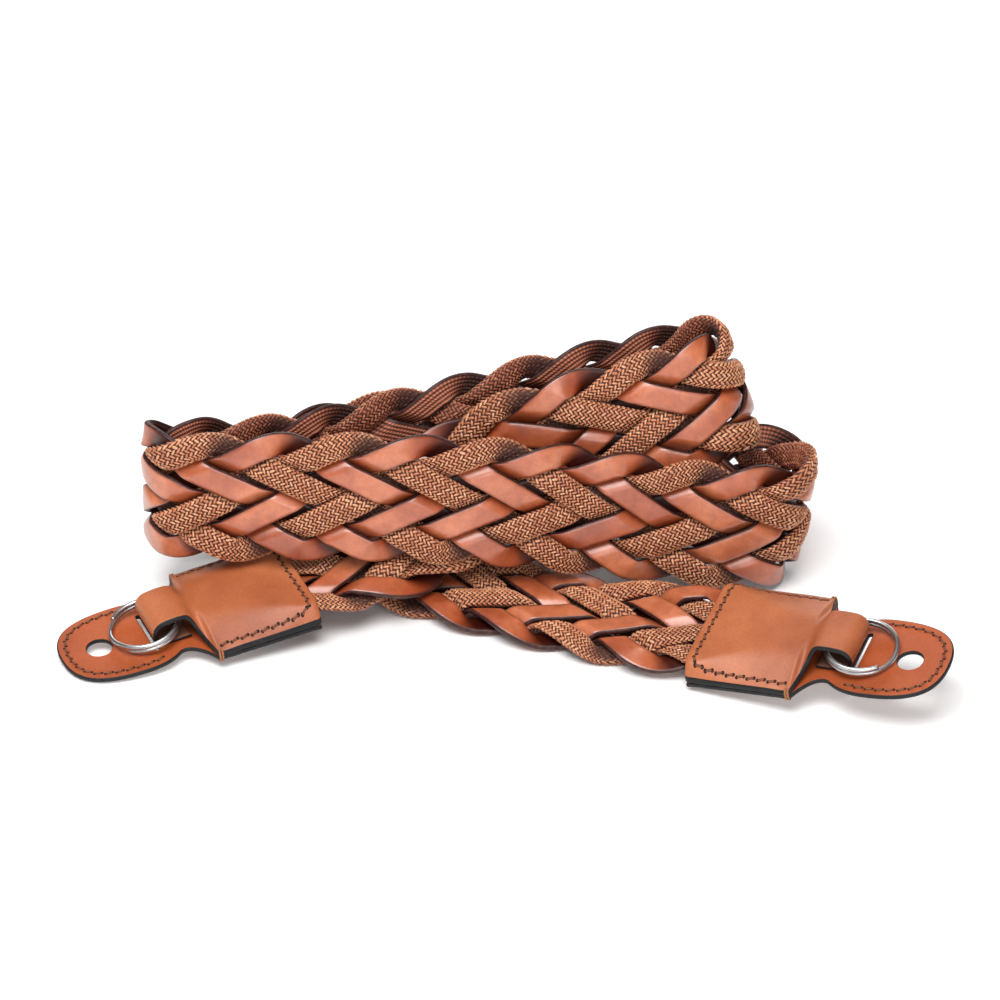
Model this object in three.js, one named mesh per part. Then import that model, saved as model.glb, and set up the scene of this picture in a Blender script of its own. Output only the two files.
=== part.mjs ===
// A braided leather and paracord camera strap, coiled, with a leather end and a split ring at each end.
import * as THREE from 'three';

// Sizes in millimetres
const BRAID = { halfWidth: 17.6, period: 131, strands: 7, offset: 1.86, change: 0.16, phase: 329.4 };
const LEATHER = { width: 6.3, thick: 1.4 };
const CORD = { width: 6.1, thick: 1.7 };
const MOUTH = { insert: 2.5, taper: 16, press: 0.55, narrow: 0.86 };
const CROSSINGS = 2 * BRAID.strands;
const STRAND_KINDS = ['leather', 'cord', 'leather', 'cord', 'leather', 'cord', 'leather'];

const COVER = { half: 18.6, thick: 1.3, corner: 30, neckAt: 35, neckHalf: 7.4 };
const GUARD = { thick: 1.35, half: 18.6, waistHalf: 9.8, waistAt: 38 };
const FLAP = { half: 14.6, tip: 68, hole: 3.45, holeAt: 57.2 };
const LOOP = { axisAt: 36.6, radius: 2.7, foldAt: 43, returnTo: 33.6, returnThick: 0.95 };
const RING = { radius: 9.4, wire: 0.54, pitch: 1.14, centreAt: 44.1, split: 0.12, droop: 8 };
const RING_STEPS = 28;
const RING_SIDES = 6;
const GAP = 0.25;

// Moves the coil so that its box is centred on the origin and stands on the floor
const SHIFT = new THREE.Vector3(0.025, -46.72, 0.11);

// Colours read off the object
const LEATHER_LOOK = new THREE.MeshStandardMaterial({ color: 0xb4643a, roughness: 0.5, metalness: 0 });
const CORD_LOOK = new THREE.MeshStandardMaterial({ color: 0x9c5a34, roughness: 0.85, metalness: 0 });
const STEEL_LOOK = new THREE.MeshStandardMaterial({ color: 0xd8d9dc, roughness: 0.25, metalness: 1 });

// Route of the braid's middle line from the right end to the left end; lean 0 stands on edge, 90 lies flat
const ROUTE_COLUMNS = ['x', 'y', 'z', 'lean'];
const ROUTE = [
  [55.3, 18.6, 8.4, 76.5],
  [44.9, 23.6, 6.8, 77],
  [31, 31, 3.8, 87],
  [8, 40.6, 3.3, 90],
  [-14, 51.4, 3.3, 90],
  [-34.5, 62.8, 3.9, 87],
  [-53, 71, 6.4, 77],
  [-64.1, 78.8, 10.5, 61],
  [-69.8, 89, 14, 46.5],
  [-65.4, 99, 16.1, 34],
  [-48, 102.5, 17.6, 22],
  [-20, 100.5, 18.8, 0],
  [8, 97.5, 18, -20],
  [35, 95, 14.8, -38],
  [58, 87.5, 14.6, -40],
  [68.5, 81, 16.4, -32],
  [78, 74, 18, -22],
  [82.2, 65.2, 18.8, -10],
  [78.5, 57, 19.4, -2],
  [69.5, 53.7, 19.8, 4],
  [45, 53.4, 21.9, 7],
  [24, 52, 25.8, 8],
  [3, 48.3, 30.2, 8],
  [-27, 45.2, 33.7, 8],
  [-60, 45, 34.3, 8],
  [-82, 45.6, 33.9, 6],
  [-91, 49.2, 33.1, 3],
  [-94.4, 56.4, 31.5, 0],
  [-91, 63.6, 29.8, 2],
  [-82, 67, 28.5, 4],
  [-58, 69.5, 28.4, 3],
  [-25, 75, 32.6, -2],
  [15, 82.4, 40, -2],
  [42, 86.8, 45.6, 3],
  [54, 88, 49, 10],
  [61, 84.8, 51.5, 18],
  [64, 77.4, 52.4, 21],
  [60.8, 70, 51.8, 19],
  [52, 66.6, 49.8, 15],
  [30, 65.5, 44.3, 11],
  [6, 63.6, 36.6, 16],
  [-10, 62, 27.8, 36],
  [-20, 57.2, 19.4, 55],
  [-31.5, 51.4, 14, 72],
  [-43.6, 46.4, 11.5, 80],
  [-55, 41.3, 10.3, 84],
];
const ROUTE_STEPS = 60;

const clamp01 = (x) => Math.min(1, Math.max(0, x));
const smooth = (x) => clamp01(x) ** 2 * (3 - 2 * clamp01(x));
const mix = (a, b, t) => a + (b - a) * t;
const radians = THREE.MathUtils.degToRad;

// Centripetal spline through the rows of a table, as a dense list of rows
function splineRows(rows, steps) {
  const first = rows[0].map((c, k) => 2 * c - rows[1][k]);
  const last = rows.at(-1).map((c, k) => 2 * c - rows.at(-2)[k]);
  const ext = [first, ...rows, last];
  const span = (a, b) => Math.sqrt(Math.hypot(a[0] - b[0], a[1] - b[1], a[2] - b[2]));
  const out = [];
  for (let i = 1; i < ext.length - 2; i++) {
    const [a, b, c, d] = ext.slice(i - 1, i + 3);
    const [u, v, w] = [span(a, b), span(b, c), span(c, d)];
    for (let j = 0; j < steps; j++) {
      const t = j / steps;
      out.push(b.map((_, k) => {
        const m1 = ((b[k] - a[k]) / u - (c[k] - a[k]) / (u + v) + (c[k] - b[k]) / v) * v;
        const m2 = ((c[k] - b[k]) / v - (d[k] - b[k]) / (v + w) + (d[k] - c[k]) / w) * v;
        const near = (2 * t ** 3 - 3 * t ** 2 + 1) * b[k] + (t ** 3 - 2 * t ** 2 + t) * m1;
        return near + (3 * t ** 2 - 2 * t ** 3) * c[k] + (t ** 3 - t ** 2) * m2;
      }));
    }
  }
  out.push(rows.at(-1));
  return out;
}

const DENSE = splineRows(ROUTE, ROUTE_STEPS).map((row) => ({
  point: new THREE.Vector3(row[0], row[1], row[2]).add(SHIFT),
  lean: row[ROUTE_COLUMNS.indexOf('lean')],
}));
const LENGTHS = DENSE.reduce((sums, row, i) => {
  sums.push(i ? sums[i - 1] + row.point.distanceTo(DENSE[i - 1].point) : 0);
  return sums;
}, []);
const LENGTH = LENGTHS.at(-1);

// Index of the dense row at or before a distance along the braid
function rowBefore(s) {
  let low = 0;
  let high = DENSE.length - 2;
  while (low < high) {
    const mid = Math.ceil((low + high) / 2);
    if (LENGTHS[mid] <= s) low = mid;
    else high = mid - 1;
  }
  return low;
}

function pointAt(s) {
  const i = rowBefore(s);
  const t = (s - LENGTHS[i]) / (LENGTHS[i + 1] - LENGTHS[i]);
  const point = DENSE[i].point.clone().lerp(DENSE[i + 1].point, t);
  return { point, lean: mix(DENSE[i].lean, DENSE[i + 1].lean, t) };
}

// Frame of the band: along it, across its width, and out of its grain side
function frameAt(s) {
  const reach = 1.5;
  const { point, lean } = pointAt(s);
  const from = pointAt(Math.max(0, s - reach)).point;
  const along = pointAt(Math.min(LENGTH, s + reach)).point.sub(from).normalize();
  const side = along.clone().cross(new THREE.Vector3(0, 0, 1)).normalize();
  const up = side.clone().cross(along);
  const across = up.multiplyScalar(Math.cos(radians(lean))).addScaledVector(side, Math.sin(radians(lean)));
  return { point, along, across, out: across.clone().cross(along) };
}

// Point of the band at a distance along it, a place across it and a height over its middle plane
function bandPoint(s, v, h) {
  const f = frameAt(THREE.MathUtils.clamp(s, 0, LENGTH));
  const beyond = s - THREE.MathUtils.clamp(s, 0, LENGTH);
  return f.point.addScaledVector(f.along, beyond).addScaledVector(f.across, v).addScaledVector(f.out, h);
}

// How far a place is into the tapered stretch by an end, from 0 outside it to 1 at the mouth
function taperAt(s) {
  return smooth(1 - Math.min(s, LENGTH - s) / MOUTH.taper);
}

// Closed body through a row of rings of points that all have the same count
function loft(rings) {
  const count = rings[0].length;
  const positions = rings.flat().flatMap((p) => [p.x, p.y, p.z]);
  const index = [];
  for (let i = 0; i + 1 < rings.length; i++) {
    for (let k = 0; k < count; k++) {
      const [a, b] = [i * count + k, i * count + ((k + 1) % count)];
      index.push(a, b, a + count, b, b + count, a + count);
    }
  }
  const end = (rings.length - 1) * count;
  for (let k = 0; k + 1 < count / 2; k++) {
    const [a, b, c, d] = [k, k + 1, count - 2 - k, count - 1 - k];
    index.push(a, c, b, a, d, c);
    index.push(end + a, end + b, end + c, end + a, end + c, end + d);
  }
  const geometry = new THREE.BufferGeometry();
  geometry.setAttribute('position', new THREE.Float32BufferAttribute(positions, 3));
  geometry.setIndex(index);
  geometry.computeVertexNormals();
  return geometry;
}

// Places on a strand, counted in crossings from its turn at the lower edge, with over 1 and under -1
const FLOATS = [
  { at: 0, level: 0 },
  { at: 0.26, level: 0.86 },
  { at: 0.56, level: 1 },
  { at: 1.5 - BRAID.change, level: 1 },
  { at: 1.5 + BRAID.change, level: -1 },
  { at: 3.5 - BRAID.change, level: -1 },
  { at: 3.5 + BRAID.change, level: 1 },
  { at: 5.5 - BRAID.change, level: 1 },
  { at: 5.5 + BRAID.change, level: -1 },
  { at: 6.44, level: -1 },
  { at: 6.74, level: -0.86 },
];

const TURN_REACH = 0.62;
const MIN_SPLIT = 0.7;
const SPLIT_BEND = 13;
const STEP = BRAID.period / CROSSINGS;

// Place across the band, from -1 to 1, of a strand at a count of crossings
function zigzag(q) {
  const half = BRAID.strands;
  const turn = Math.round(q / half);
  const off = Math.abs(q - turn * half);
  const rounded = off < TURN_REACH ? (off ** 2 / TURN_REACH + TURN_REACH) / 2 : off;
  const height = 1 - (2 / half) * rounded;
  return turn % 2 ? height : -height;
}

// Direction of a strand's cross section: along the strands it crosses, swung round at the turns
function sectionAngle(q, slope) {
  const half = BRAID.strands;
  const turn = Math.round(q / half);
  const part = clamp01((q - turn * half + TURN_REACH) / (2 * TURN_REACH));
  const sweep = mix(slope, Math.PI - slope, part);
  return turn % 2 ? -sweep : sweep - Math.PI;
}

// Ring of four points round a strand at a count of crossings
function strandSection(q, level, start, size) {
  const s = start + q * STEP;
  const taper = taperAt(s);
  const reach = (BRAID.halfWidth - size.width / 2) / (1 - TURN_REACH / BRAID.strands);
  const narrow = mix(1, MOUTH.narrow, taper);
  const press = mix(1, MOUTH.press, taper);
  const slope = Math.atan((2 * reach) / BRAID.strands / STEP);
  const angle = sectionAngle(q, slope);
  const ahead = Math.atan2(reach * (zigzag(q + 0.01) - zigzag(q - 0.01)), 0.02 * STEP);
  const half = size.width / 2 / Math.abs(Math.sin(angle - ahead));
  const right = [half * Math.cos(angle), half * Math.sin(angle)];
  const v = reach * zigzag(q);
  const h = BRAID.offset * level * press;
  const t = (size.thick / 2) * press;
  const corner = (side, face) => bandPoint(s + side * right[0], (v + side * right[1]) * narrow, h + face * t);
  return [corner(-1, -1), corner(1, -1), corner(1, 1), corner(-1, 1)];
}

// A section halfway between two others where the band bends or twists between them
function bendStops(stop, next, start) {
  if (!next || next.q - stop.q < MIN_SPLIT) return [];
  const [from, to] = [stop, next].map(({ q }) => frameAt(THREE.MathUtils.clamp(start + q * STEP, 0, LENGTH)));
  const bend = Math.max(from.along.angleTo(to.along), from.across.angleTo(to.across));
  if (bend < radians(SPLIT_BEND)) return [];
  return [{ q: (stop.q + next.q) / 2, level: stop.level }];
}

// Counts of crossings at which a strand has a section, cut to the braid's length
function strandStops(start) {
  const from = (-MOUTH.insert - start) / STEP;
  const to = (LENGTH + MOUTH.insert - start) / STEP;
  const stops = [];
  for (let turn = Math.floor(from / BRAID.strands); (turn - 1) * BRAID.strands < to; turn++) {
    FLOATS.forEach(({ at, level }) => stops.push({ q: turn * BRAID.strands + at, level }));
  }
  const levelAt = (q) => {
    const i = stops.findIndex((stop) => stop.q > q);
    return mix(stops[i - 1].level, stops[i].level, (q - stops[i - 1].q) / (stops[i].q - stops[i - 1].q));
  };
  const kept = stops.filter(({ q }) => q > from + 0.1 && q < to - 0.1);
  const ends = [{ q: from, level: levelAt(from) }, ...kept, { q: to, level: levelAt(to) }];
  return ends.flatMap((stop, i) => [stop, ...bendStops(stop, ends[i + 1], start)]);
}

function strand(number, kind) {
  const size = kind === 'leather' ? LEATHER : CORD;
  const start = ((BRAID.phase + (number * BRAID.period) / BRAID.strands) % BRAID.period) - BRAID.period;
  const rings = strandStops(start).map(({ q, level }) => strandSection(q, level, start, size));
  return new THREE.Mesh(loft(rings), kind === 'leather' ? LEATHER_LOOK : CORD_LOOK);
}

// Levels of an end, measured out of the braid's middle plane
const GUARD_TOP = -(BRAID.offset + CORD.thick / 2) * MOUTH.press - 1.5 * GAP;
const RETURN_TOP = GUARD_TOP + GAP + LOOP.returnThick;
const AXIS_LEVEL = RETURN_TOP + LOOP.radius;

// Underside of the cover over the guard: its height at the edges and crown, and the flat share of its width
const COVER_COLUMNS = ['l', 'edge', 'crown', 'flat'];
const COVER_ROWS = [
  [0, 0, 3.75, 0.81],
  [3, 0, 3.75, 0.81],
  [8, 0, 3.95, 0.66],
  [15, 0, 4.1, 0.46],
  [23, 0, 4.15, 0.3],
  [30, 0, 4.4, 0.2],
  [31.4, 1, 4.7, 0.1],
  [32.8, 3.2, 5.3, 0.1],
  [34, 5.5, 6, 0.1],
];
const HUMP = LOOP.returnThick + 2 * LOOP.radius;

// Half width of the cover along its length: square body, hollow shoulders, straight neck
function coverHalf(l) {
  const part = clamp01((l - COVER.corner) / (COVER.neckAt - COVER.corner));
  return mix(COVER.half, COVER.neckHalf, 1 - (1 - part) ** 2);
}

// Stations of the cover's sheet, with the way its outside faces: over the body, the ring, the fold and back
function coverStations() {
  const level = (l, n, tilt) => ({ l, n, edge: 0, crown: 0, flat: 0, tilt });
  const stations = COVER_ROWS.map((row) => {
    const named = Object.fromEntries(COVER_COLUMNS.map((name, k) => [name, row[k]]));
    return { ...named, n: GUARD_TOP + GAP, tilt: 0 };
  });
  const bend = LOOP.foldAt - LOOP.radius;
  stations.push(level(COVER.neckAt, GUARD_TOP + GAP + HUMP, 0));
  for (let k = 0; k <= 6; k++) {
    const turn = (k / 6) * Math.PI;
    const height = AXIS_LEVEL + LOOP.radius * Math.cos(turn);
    stations.push(level(bend + LOOP.radius * Math.sin(turn), height, -turn));
  }
  stations.push(level(LOOP.returnTo, RETURN_TOP, -Math.PI));
  return stations;
}

// Ring of points round the cover's sheet at a station
function coverSection({ l, n, edge, crown, flat, tilt }) {
  const half = tilt < -0.1 ? COVER.neckHalf : coverHalf(l);
  const thick = mix(COVER.thick, LOOP.returnThick, -tilt / Math.PI);
  const places = [-1, -0.8, -0.5, -0.2, 0.2, 0.5, 0.8, 1];
  const rise = (p) => mix(crown, edge, smooth((Math.abs(p) - flat) / (1 - flat)));
  const inner = places.map((p) => new THREE.Vector3(l, p * half, n + rise(p)));
  const lift = new THREE.Vector3(-Math.sin(tilt), 0, Math.cos(tilt)).multiplyScalar(thick);
  const outer = inner.map((p) => p.clone().add(lift));
  return [...inner, ...outer.reverse()];
}

// Outline of the guard: square body, waist, and a round ended flap past the ring
function guardShape() {
  const g = GUARD;
  const f = FLAP;
  const shape = new THREE.Shape();
  shape.moveTo(0.6, -g.half);
  shape.lineTo(COVER.corner, -g.half);
  shape.quadraticCurveTo(g.waistAt - 4, -g.waistHalf, g.waistAt, -g.waistHalf - 1.5);
  shape.bezierCurveTo(g.waistAt + 3, -f.half + 1, g.waistAt + 6, -f.half, g.waistAt + 11, -f.half);
  shape.bezierCurveTo(f.tip - 4, -f.half, f.tip, -9, f.tip, 0);
  shape.bezierCurveTo(f.tip, 9, f.tip - 4, f.half, g.waistAt + 11, f.half);
  shape.bezierCurveTo(g.waistAt + 6, f.half, g.waistAt + 3, f.half - 1, g.waistAt, g.waistHalf + 1.5);
  shape.quadraticCurveTo(g.waistAt - 4, g.waistHalf, COVER.corner, g.half);
  shape.lineTo(0.6, g.half);
  shape.closePath();
  const hole = new THREE.Path();
  hole.absarc(f.holeAt, 0, f.hole, 0, 2 * Math.PI, true);
  shape.holes.push(hole);
  return shape;
}

function guard() {
  const options = { depth: GUARD.thick, bevelEnabled: false, curveSegments: 7 };
  const geometry = new THREE.ExtrudeGeometry(guardShape(), options);
  geometry.translate(0, 0, GUARD_TOP - GUARD.thick);
  return new THREE.Mesh(geometry, LEATHER_LOOK);
}

function cover() {
  return new THREE.Mesh(loft(coverStations().map(coverSection)), LEATHER_LOOK);
}

// Split ring of two flat turns with a jog between them, drooping onto the flap from its loop
function splitRing() {
  const rings = [];
  for (let i = 0; i <= 2 * RING_STEPS; i++) {
    const turns = mix(RING.split, 2 - RING.split, i / (2 * RING_STEPS));
    const turn = turns * 2 * Math.PI;
    const rise = RING.pitch * (smooth((turns - 0.9) / 0.2) - 0.5);
    const ring = [];
    for (let k = 0; k < RING_SIDES; k++) {
      const a = (k / RING_SIDES) * 2 * Math.PI;
      const r = RING.radius + RING.wire * Math.cos(a);
      const l = RING.centreAt - LOOP.axisAt + r * Math.cos(turn);
      ring.push(new THREE.Vector3(l, r * Math.sin(turn), rise + RING.wire * Math.sin(a)));
    }
    rings.push(ring.reverse());
  }
  const mesh = new THREE.Mesh(loft(rings), STEEL_LOOK);
  mesh.position.set(LOOP.axisAt, 0, AXIS_LEVEL);
  mesh.rotation.y = radians(RING.droop);
  return mesh;
}

// One end of the strap, placed at the mouth of the braid and pointing away from it
function strapEnd(name, s, outward) {
  const f = frameAt(s);
  const end = new THREE.Group();
  const basis = [f.along.multiplyScalar(outward), f.across.multiplyScalar(-outward), f.out];
  end.quaternion.setFromRotationMatrix(new THREE.Matrix4().makeBasis(...basis));
  end.position.copy(f.point);
  const pieces = { end_cover: cover(), flap: guard(), split_ring: splitRing() };
  Object.entries(pieces).forEach(([piece, mesh]) => {
    mesh.name = `${piece}_${name}`;
    end.add(mesh);
  });
  return end;
}

const strap = new THREE.Group();
strap.name = 'camera_strap';
const counts = { leather: 0, cord: 0 };
STRAND_KINDS.forEach((kind, number) => {
  const mesh = strand(number, kind);
  counts[kind] += 1;
  mesh.name = `${kind === 'leather' ? 'leather_strand' : 'paracord_strand'}_${counts[kind]}`;
  strap.add(mesh);
});
strap.add(strapEnd('right', 0, -1));
strap.add(strapEnd('left', LENGTH, 1));

export default strap;
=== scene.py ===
"""Looks of a coiled camera strap of braided leather and paracord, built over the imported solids."""
import math
from types import SimpleNamespace as Sizes

import bpy
import numpy as np
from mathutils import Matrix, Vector
from mathutils.geometry import tessellate_polygon


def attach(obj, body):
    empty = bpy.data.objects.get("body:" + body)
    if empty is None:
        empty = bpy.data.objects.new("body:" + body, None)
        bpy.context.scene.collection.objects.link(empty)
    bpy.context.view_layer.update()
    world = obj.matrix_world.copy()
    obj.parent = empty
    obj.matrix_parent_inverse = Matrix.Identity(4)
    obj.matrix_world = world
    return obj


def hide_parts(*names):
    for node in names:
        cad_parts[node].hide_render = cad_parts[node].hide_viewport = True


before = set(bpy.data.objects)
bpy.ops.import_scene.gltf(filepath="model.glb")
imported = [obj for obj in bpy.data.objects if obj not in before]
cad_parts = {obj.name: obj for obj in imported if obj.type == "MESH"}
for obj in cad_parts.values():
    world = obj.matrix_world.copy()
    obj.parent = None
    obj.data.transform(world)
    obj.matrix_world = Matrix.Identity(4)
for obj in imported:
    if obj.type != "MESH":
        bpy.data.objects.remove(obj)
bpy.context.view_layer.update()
RANDOM = np.random.default_rng(7)

# Metres in a millimetre
MM = 0.001

# Sizes in millimetres and degrees, shared with the solids; reach is in crossings, split in turns
SHIFT = np.array([0.025, -46.72, 0.11])
BRAID = Sizes(period=131.0, strands=7, offset=1.86, phase=329.4, reach=0.62)
SOLID_CORD_THICK = 1.7
MOUTH = Sizes(insert=2.5, taper=16.0, press=0.55, narrow=0.86)
COVER = Sizes(half=18.6, thick=1.3, corner=30.0, neck_at=35.0, neck_half=7.4)
GUARD = Sizes(thick=1.35, half=18.6, waist_half=9.8, waist_at=38.0)
FLAP = Sizes(half=14.6, tip=68.0, hole=3.45, hole_at=57.2)
LOOP = Sizes(axis_at=36.6, radius=2.7, fold_at=43.0, return_to=33.6, return_thick=0.95)
RING = Sizes(radius=9.4, centre_at=44.1, split=0.12, droop=8.0)
GAP = 0.25

# Sizes of the strands in millimetres and degrees that only the looks use
BAND_HALF = 18.5
LEATHER = Sizes(width=6.9, thick=1.7, ribs=5, rib_depth=0.3, cross_rib=0.9, margin=0.55, crown=0.2, bevel=0.3)
LEATHER_EDGE = Sizes(low_in=0.15, low_up=0.2, high_in=0.08)
CORD = Sizes(width=6.9, thick=3.1, power=0.9, points=721, sides=20)
WEAVE = Sizes(columns=16, slant=45.0, pitch=1.36, long=1.8, wide=0.6, high=0.36, sink=0.06)
SPACING = Sizes(leather=0.8, cord=1.0)
FLOOR_GAP = 0.02

# Crossings after which a strand changes level, and half a change's length in the braid and at its turns
CHANGES_AT = (1.5, 3.5, 5.5)
CHANGE = 0.36
TURN_CHANGE = 0.6

# Sizes of the ends in millimetres and degrees that only the looks use; jog_at and jog_long are in turns
COVER_EDGE = Sizes(corner=1.6, bevel=0.4)
RIM = Sizes(deep=0.35, slight=0.08, hole_share=0.6, hole_sides=40)
SLIT = Sizes(at=43.5, half=8.0, wide=1.05)
WIRE = Sizes(radius=0.64, pitch=1.26, jog_at=0.9, jog_long=0.2)
SEAM = Sizes(inset=2.2, corner=1.2, from_corner=1.0, past_waist=4.5)
STITCH = Sizes(pitch=2.9, long=1.75, radius=0.36, slant=14.0, rise=0.12, dip=0.42)
STITCH_HOLE = Sizes(radius=0.5, at=1.08, rise=0.02, sides=10)
TACK = Sizes(radius=0.3, half=18.85, from_corner=(0.9, 0.2))

# Path of a bar tack: place across, and height over the cover's edge or the guard's underside
TACK_TOP = [(16.6, -0.1), (17.4, 0.14), (18.4, 0.1), (18.8, -0.4)]
TACK_LOW = [(18.8, 0.4), (18.4, -0.1), (17.4, -0.12), (16.6, 0.1)]

# Floor: sizes in metres, the strength of its glow, and the share of the painted shadow's ellipse with no glow
FLOOR = Sizes(half=4.0, glow=0.22, fade_x=0.1, fade_y=0.07, fade_from=0.6)

# Camera: distance in metres, elevation in degrees, aim in millimetres, lens in widths of the sensor
VIEW = Sizes(distance=1.1, elevation=30.0, aim=(0, 50, 30.4), sensor=36.0, lens=4.07)

# Kinds of face of a leather piece and of a cord
GRAIN, EDGE, BACK = range(3)
FLOATS, CORE = range(2)

# Colours of the looks from dark to light
WHITE = (1, 1, 1)
TONES = Sizes(
    strand=((0.35, 0.066, 0.018), (0.5, 0.115, 0.038), (0.68, 0.21, 0.09)),
    strand_edge=((0.04, 0.013, 0.011), (0.11, 0.042, 0.034)),
    # Lining from its valleys to its ridges: its own tone with painted shade and painted light
    lining=((0.13, 0.03, 0.019), (0.8, 0.29, 0.16)),
    floats=((0.52, 0.165, 0.066), (0.69, 0.265, 0.12), (0.86, 0.42, 0.22)),
    # Body of the cord, painted dark as the shade between its floats
    core=((0.045, 0.011, 0.006), (0.09, 0.024, 0.013)),
    cover=((0.36, 0.084, 0.022), (0.45, 0.117, 0.034), (0.54, 0.157, 0.052)),
    flap=((0.35, 0.068, 0.014), (0.42, 0.083, 0.019), (0.48, 0.102, 0.026)),
    # Backs of the ends: plain leather, darkened with painted shade for the inside of the fold
    end_back=((0.1, 0.032, 0.015), (0.14, 0.046, 0.021), (0.18, 0.062, 0.029)),
    end_edge=((0.006, 0.006, 0.007), (0.015, 0.015, 0.016)),
    stitch=((0.13, 0.04, 0.016), (0.25, 0.085, 0.034)),
    # Painted shade in the stitch holes
    stitch_hole=((0.02, 0.008, 0.005), (0.04, 0.015, 0.01)),
    tack=((0.3, 0.1, 0.035), (0.45, 0.17, 0.065)),
    steel=((0.5, 0.505, 0.515), (0.6, 0.605, 0.615)),
)

# Route of the braid's middle line from the right end to the left end: x, y, z and lean
ROUTE = [
    (55.3, 18.6, 8.4, 76.5),
    (44.9, 23.6, 6.8, 77),
    (31, 31, 3.8, 87),
    (8, 40.6, 3.3, 90),
    (-14, 51.4, 3.3, 90),
    (-34.5, 62.8, 3.9, 87),
    (-53, 71, 6.4, 77),
    (-64.1, 78.8, 10.5, 61),
    (-69.8, 89, 14, 46.5),
    (-65.4, 99, 16.1, 34),
    (-48, 102.5, 17.6, 22),
    (-20, 100.5, 18.8, 0),
    (8, 97.5, 18, -20),
    (35, 95, 14.8, -38),
    (58, 87.5, 14.6, -40),
    (68.5, 81, 16.4, -32),
    (78, 74, 18, -22),
    (82.2, 65.2, 18.8, -10),
    (78.5, 57, 19.4, -2),
    (69.5, 53.7, 19.8, 4),
    (45, 53.4, 21.9, 7),
    (24, 52, 25.8, 8),
    (3, 48.3, 30.2, 8),
    (-27, 45.2, 33.7, 8),
    (-60, 45, 34.3, 8),
    (-82, 45.6, 33.9, 6),
    (-91, 49.2, 33.1, 3),
    (-94.4, 56.4, 31.5, 0),
    (-91, 63.6, 29.8, 2),
    (-82, 67, 28.5, 4),
    (-58, 69.5, 28.4, 3),
    (-25, 75, 32.6, -2),
    (15, 82.4, 40, -2),
    (42, 86.8, 45.6, 3),
    (54, 88, 49, 10),
    (61, 84.8, 51.5, 18),
    (64, 77.4, 52.4, 21),
    (60.8, 70, 51.8, 19),
    (52, 66.6, 49.8, 15),
    (30, 65.5, 44.3, 11),
    (6, 63.6, 36.6, 16),
    (-10, 62, 27.8, 36),
    (-20, 57.2, 19.4, 55),
    (-31.5, 51.4, 14, 72),
    (-43.6, 46.4, 11.5, 80),
    (-55, 41.3, 10.3, 84),
]


def smooth(x):
    x = np.clip(x, 0, 1)
    return x * x * (3 - 2 * x)


def mix(a, b, t):
    return a + (b - a) * t


def unit(v):
    return v / np.linalg.norm(v, axis=-1, keepdims=True)


# Dense centripetal spline through the rows of a table
def spline_rows(rows, steps=60):
    rows = np.array(rows, float)
    ext = np.vstack([2 * rows[0] - rows[1], rows, 2 * rows[-1] - rows[-2]])
    span = np.sqrt(np.linalg.norm(np.diff(ext[:, :3], axis=0), axis=1))
    t = (np.arange(steps) / steps)[:, None]
    out = []
    for i in range(1, len(ext) - 2):
        a, b, c, d = ext[i - 1:i + 3]
        u, v, w = span[i - 1:i + 2]
        m1 = ((b - a) / u - (c - a) / (u + v) + (c - b) / v) * v
        m2 = ((c - b) / v - (d - b) / (v + w) + (d - c) / w) * v
        near = (2 * t**3 - 3 * t**2 + 1) * b + (t**3 - 2 * t**2 + t) * m1
        out.append(near + (3 * t**2 - 2 * t**3) * c + (t**3 - t**2) * m2)
    return np.vstack(out + [rows[-1:]])


# Distance along a line of points, at each of them
def distances(points):
    return np.concatenate([[0], np.cumsum(np.linalg.norm(np.diff(points, axis=0), axis=1))])


ROWS = spline_rows(ROUTE)
ROWS[:, :3] += SHIFT
ALONG = distances(ROWS[:, :3])
LENGTH = ALONG[-1]


def route_point(s):
    s = np.clip(s, 0, LENGTH)
    return np.stack([np.interp(s, ALONG, ROWS[:, k]) for k in range(3)], -1)


# Frame of the band: its middle, along it, across its width and out of its grain side
def frames(s):
    reach = 1.5
    along = unit(route_point(s + reach) - route_point(s - reach))
    side = unit(np.cross(along, (0, 0, 1)))
    lean = np.radians(np.interp(s, ALONG, ROWS[:, 3]))[..., None]
    across = np.cross(side, along) * np.cos(lean) + side * np.sin(lean)
    return route_point(s), along, across, np.cross(across, along)


# Point of the band at a distance along it, a place across it and a height over its middle
def band(s, v, h):
    inside = np.clip(s, 0, LENGTH)
    point, along, across, out = frames(inside)
    return point + along * (s - inside)[..., None] + across * v[..., None] + out * h[..., None]


# One crossing along the band, a strand's reach across it, its slope, and one crossing along the strand
STEP = BRAID.period / (2 * BRAID.strands)
REACH = (BAND_HALF - LEATHER.width / 2) / (1 - BRAID.reach / BRAID.strands)
SLOPE = math.atan(2 * REACH / BRAID.strands / STEP)
STRAND_STEP = STEP / math.cos(SLOPE)


# Over 1 and under -1 at a count of crossings from a strand's turn at the lower edge
def level(q):
    early = 0.75
    p = np.mod(q + early, BRAID.strands) - early
    turn = smooth(p / (2 * TURN_CHANGE) + 0.5)
    under, over, last = (smooth((p - at) / (2 * CHANGE) + 0.5) for at in CHANGES_AT)
    return 2 * (turn - under + over - last) - 1


# Place across the band from -1 to 1, with rounded turns
def zigzag(q):
    turn = np.round(q / BRAID.strands)
    off = np.abs(q - turn * BRAID.strands)
    rounded = np.where(off < BRAID.reach, (off**2 / BRAID.reach + BRAID.reach) / 2, off)
    height = 1 - 2 / BRAID.strands * rounded
    return np.where(turn % 2 == 1, height, -height)


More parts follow.
